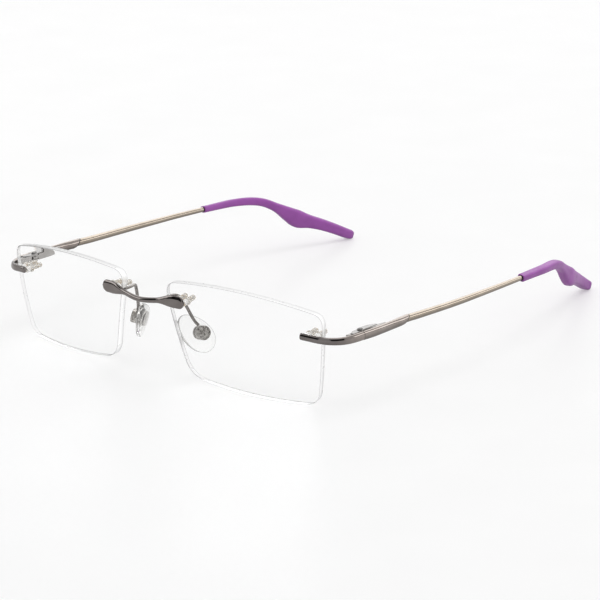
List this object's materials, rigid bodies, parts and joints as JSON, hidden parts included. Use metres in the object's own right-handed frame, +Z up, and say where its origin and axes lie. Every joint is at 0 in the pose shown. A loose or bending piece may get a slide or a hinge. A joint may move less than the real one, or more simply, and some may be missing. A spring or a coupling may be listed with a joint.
{
  "type": "rimless eyeglasses",
  "caption": "Rimless eyeglasses with pinned clear lenses, a twisted spade-ended bridge, silicone nose pads, folding metal temples and sculpted purple ear tips.",
  "frame": {"origin": "middle of the footprint, on the surface the glasses rest on", "axes": "+X towards the wearer's left, -Y the way the front faces, +Z up; the temples run back along +Y"},
  "size_m": [0.1378, 0.1593, 0.033],
  "materials": {
    "lens_plastic": "polished clear",
    "gunmetal": "polished dark nickel",
    "temple_bronze": "polished warm gunmetal",
    "hinge_metal": "satin",
    "pad_arm_metal": "satin",
    "pad_core_metal": "satin",
    "mount_pin_metal": "satin",
    "screw_steel": "polished",
    "sleeve_plastic": "clear, slightly amber",
    "silicone": "clear moulded silicone",
    "purple_tip": "matte moulded"
  },
  "bodies": {
    "front": {"bridge": "gunmetal", "lens_left": "lens_plastic", "lens_right": "lens_plastic", "bridge_pins_left": "mount_pin_metal", "bridge_pins_right": "mount_pin_metal", "bridge_sleeve_left": "sleeve_plastic", "bridge_sleeve_right": "sleeve_plastic", "endpiece_left": "gunmetal", "endpiece_right": "gunmetal", "endpiece_pins_left": "mount_pin_metal", "endpiece_pins_right": "mount_pin_metal", "endpiece_sleeve_left": "sleeve_plastic", "endpiece_sleeve_right": "sleeve_plastic", "pad_arm_left": "pad_arm_metal", "pad_arm_right": "pad_arm_metal", "pad_box_left": "pad_arm_metal", "pad_box_right": "pad_arm_metal", "pad_screw_left": "screw_steel", "pad_screw_right": "screw_steel", "hinge_front_left": "hinge_metal", "hinge_front_right": "hinge_metal", "hinge_screw_left": "screw_steel", "hinge_screw_right": "screw_steel"},
    "temple_left": {"hinge_rear_left": "hinge_metal", "temple_shell_left": "temple_bronze", "temple_rod_left": "temple_bronze", "temple_tip_left": "purple_tip"},
    "temple_right": {"hinge_rear_right": "hinge_metal", "temple_shell_right": "temple_bronze", "temple_rod_right": "temple_bronze", "temple_tip_right": "purple_tip"},
    "pad_left": {"nose_pad_left": "silicone", "pad_core_left": "pad_core_metal"},
    "pad_right": {"nose_pad_right": "silicone", "pad_core_right": "pad_core_metal"}
  },
  "joints": [
    {"name": "temple_fold_left", "type": "hinge", "parent": "front", "child": "temple_left", "pos_m": [0.0663, -0.05602, 0.02139], "axis": [0, 0, 1], "range_deg": [0, 85]},
    {"name": "temple_fold_right", "type": "hinge", "parent": "front", "child": "temple_right", "pos_m": [-0.0663, -0.05602, 0.02139], "axis": [0, 0, -1], "range_deg": [0, 74]},
    {"name": "pad_rock_left", "type": "hinge", "parent": "front", "child": "pad_left", "pos_m": [0.0136, -0.06607, 0.01418], "axis": [0.1927, 0.7554, 0.6263], "range_deg": [-5, 5]},
    {"name": "pad_rock_right", "type": "hinge", "parent": "front", "child": "pad_right", "pos_m": [-0.0136, -0.06607, 0.01418], "axis": [0.1927, -0.7554, -0.6263], "range_deg": [-5, 5]}
  ]
}
